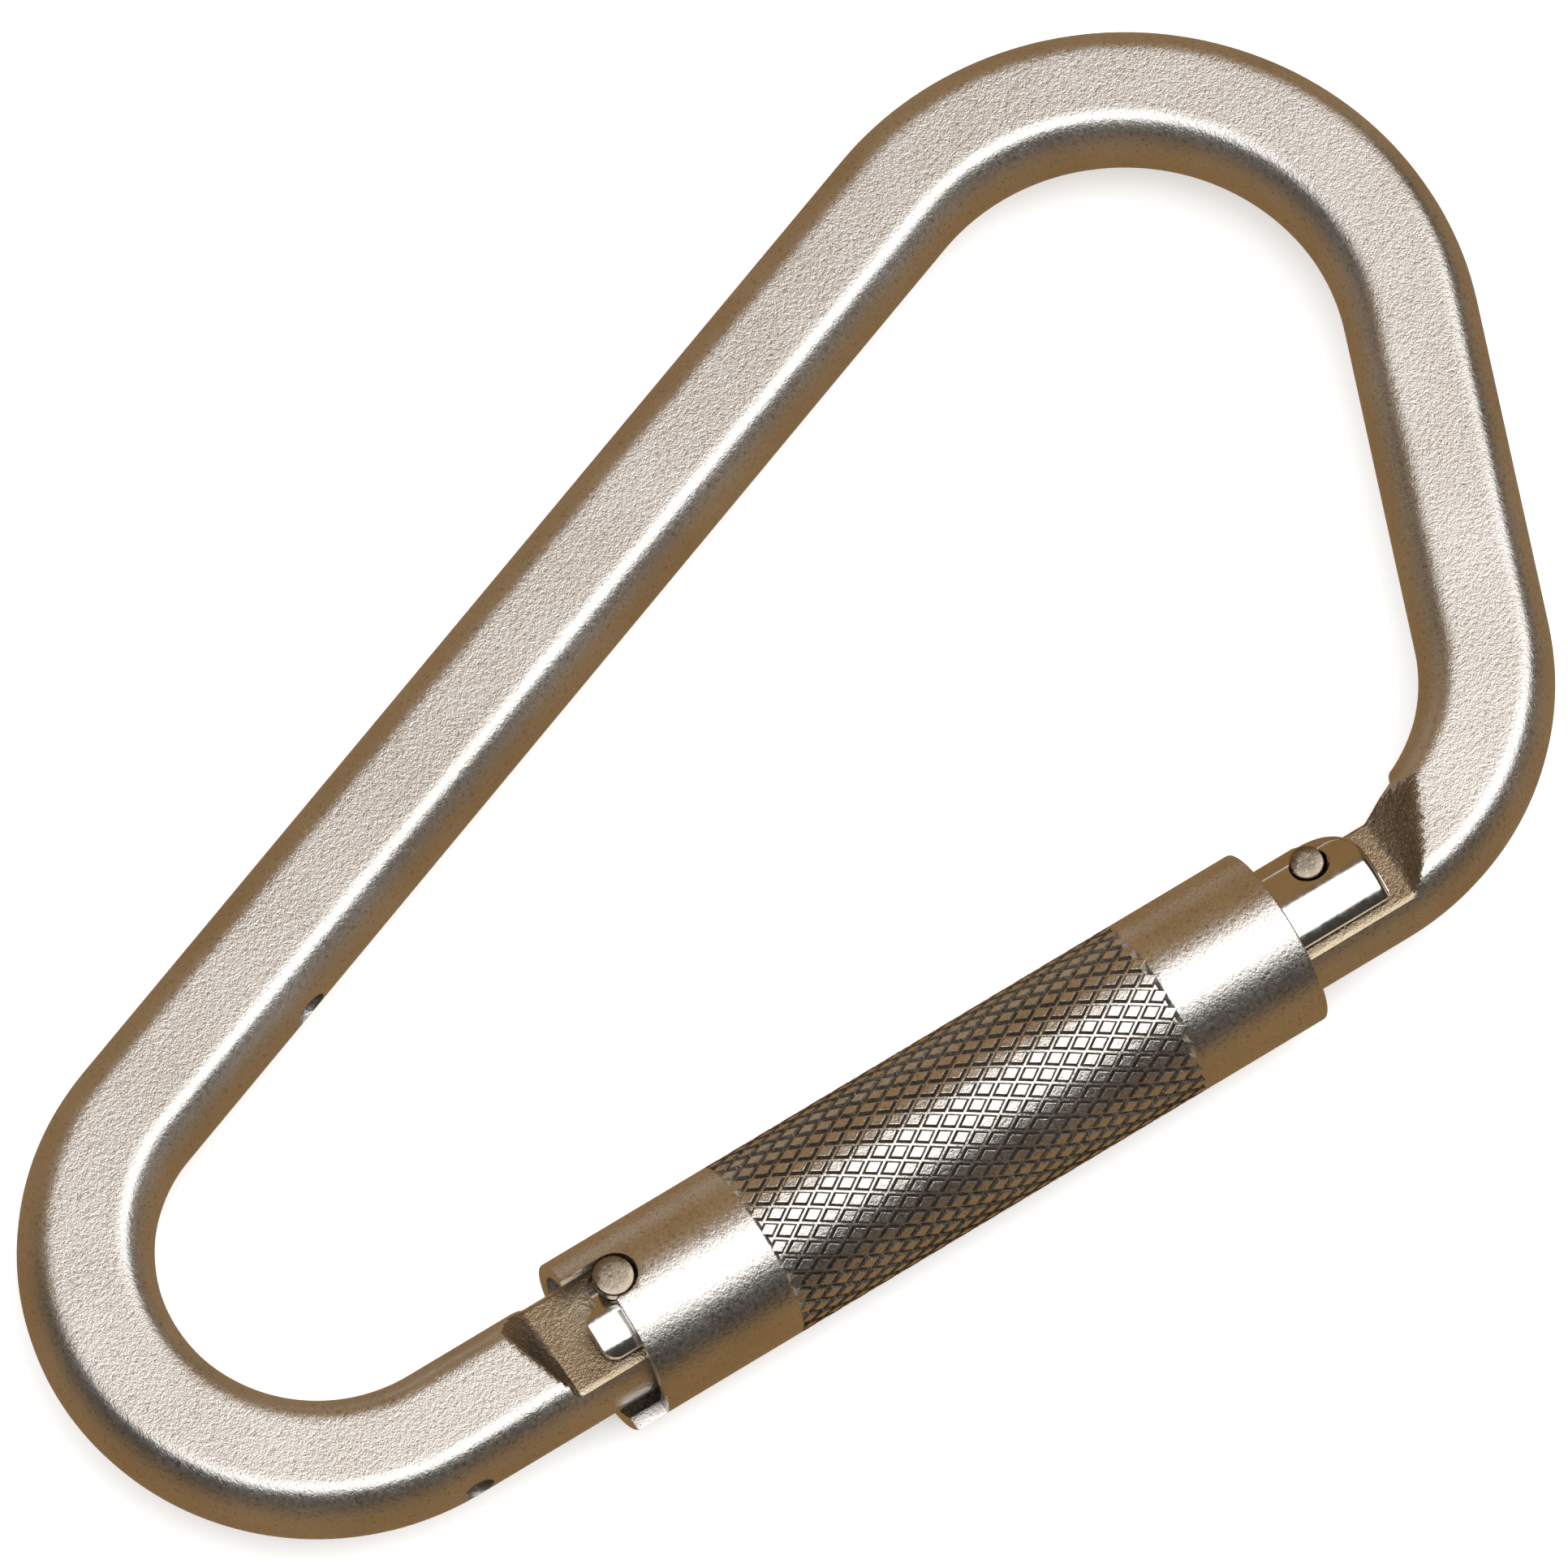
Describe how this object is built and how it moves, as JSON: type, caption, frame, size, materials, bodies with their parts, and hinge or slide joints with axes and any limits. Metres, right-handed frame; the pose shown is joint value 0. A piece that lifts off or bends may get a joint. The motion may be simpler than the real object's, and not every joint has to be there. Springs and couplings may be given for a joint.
{
  "type": "locking carabiner",
  "caption": "Large rounded-triangle steel carabiner with an inward-swinging gate and a spring-loaded knurled sleeve that locks it.",
  "frame": {"origin": "middle of the whole carabiner's bounding box, on the frame's middle plane", "axes": "+Y up the spine towards the wide end, +X from the spine towards the gate, +Z out of the front face, the side that the hinge pin's head stands on"},
  "size_m": [0.1174, 0.2284, 0.0228],
  "materials": {
    "frame_steel": "satin warm plated, fine blasted grain",
    "gate_steel": "smooth bright plated",
    "sleeve_steel": "satin warm plated, coarse knurl",
    "pin_steel": "satin warm plated",
    "spring_steel": "bright drawn wire"
  },
  "bodies": {
    "frame": {"frame": "frame_steel"},
    "gate": {"gate": "gate_steel", "hinge_pin": "pin_steel", "latch_pin": "pin_steel", "gate_spring": "spring_steel", "sleeve_spring": "spring_steel", "spring_stop": "spring_steel"},
    "sleeve": {"sleeve": "sleeve_steel", "spring_washer": "spring_steel"}
  },
  "joints": [
    {"name": "gate_swing", "type": "hinge", "parent": "frame", "child": "gate", "pos_m": [0.00981, -0.06222, 0], "axis": [0, 0, 1], "range_deg": [0, 45], "stiffness_Nm_per_rad": 0.8, "springref_deg": -40.11, "deforming": ["gate_spring"]},
    {"name": "sleeve_slide", "type": "slide", "parent": "gate", "child": "sleeve", "axis": [0.342, 0.9397, 0], "range_m": [0, 0.0066], "stiffness_N_per_m": 800, "springref_m": -0.006, "deforming": ["sleeve_spring"]}
  ],
  "couplings": [
    {"joint": "sleeve_slide", "follows": "gate_swing", "m_per_rad": 0.008276}
  ]
}
